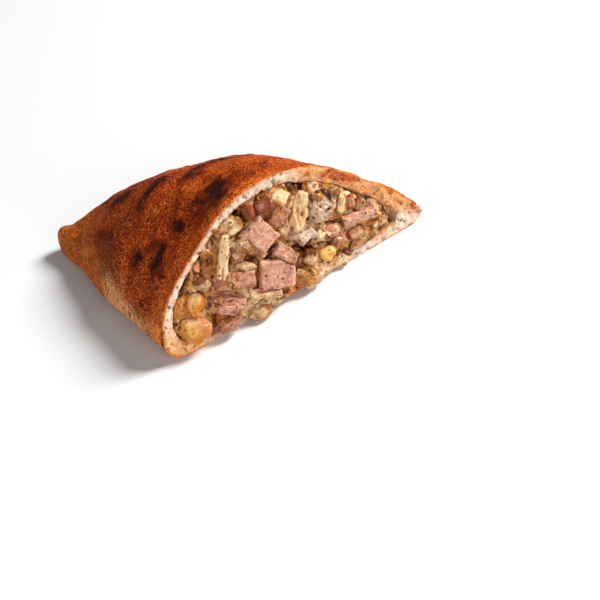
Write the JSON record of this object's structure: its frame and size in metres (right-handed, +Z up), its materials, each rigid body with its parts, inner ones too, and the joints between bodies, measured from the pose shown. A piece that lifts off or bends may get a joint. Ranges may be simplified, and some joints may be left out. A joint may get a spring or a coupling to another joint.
{
  "type": "calzone half",
  "caption": "Half of a baked calzone, cut across: a folded, blistered bread crust round a filling of ham, mushroom and melted cheese, flat underneath.",
  "frame": {"origin": "middle of the underside: the point on the table below the centre of the half's bounding box", "axes": "+X along the cut, from the fold of the dough to the sealed rim; +Y from the cut towards the pointed corner; +Z up from the table"},
  "size_m": [0.1574, 0.1386, 0.0682],
  "materials": {
    "crust": null,
    "filling": null,
    "ham": null,
    "cooked_ham": null,
    "mushroom": null,
    "onion": null,
    "cheese": null,
    "amber_cheese": null
  },
  "bodies": {
    "root": {"crust": "crust", "ham_roll": "ham", "ham_cube": "ham", "mushroom_slice": "mushroom", "ham_folded": "ham", "ham_large": "ham", "cheese_slab": "cheese", "ham_strip": "ham", "mushroom_edge": "mushroom", "onion_long": "onion", "cheese_curl": "cheese", "cheese_lumps": "cheese", "ham_chip": "ham", "onion_a": "onion", "onion_b": "onion", "onion_c": "onion", "mushroom_cap": "mushroom", "cheese_drape": "cheese", "cheese_lit": "cheese", "ham_disc": "cooked_ham", "ham_top": "ham", "onion_brown": "onion", "mushroom_bit": "mushroom", "ham_amber": "cooked_ham", "mushroom_tan": "mushroom", "ham_bits": "cooked_ham", "mushroom_end": "mushroom", "cheese_melted": "cheese", "cheese_bit": "cheese", "ham_crumbled": "cooked_ham", "cheese_amber": "amber_cheese", "cheese_white": "cheese", "ham_layers": "cooked_ham", "cheese_under": "cheese", "filling": "filling"}
  },
  "joints": []
}
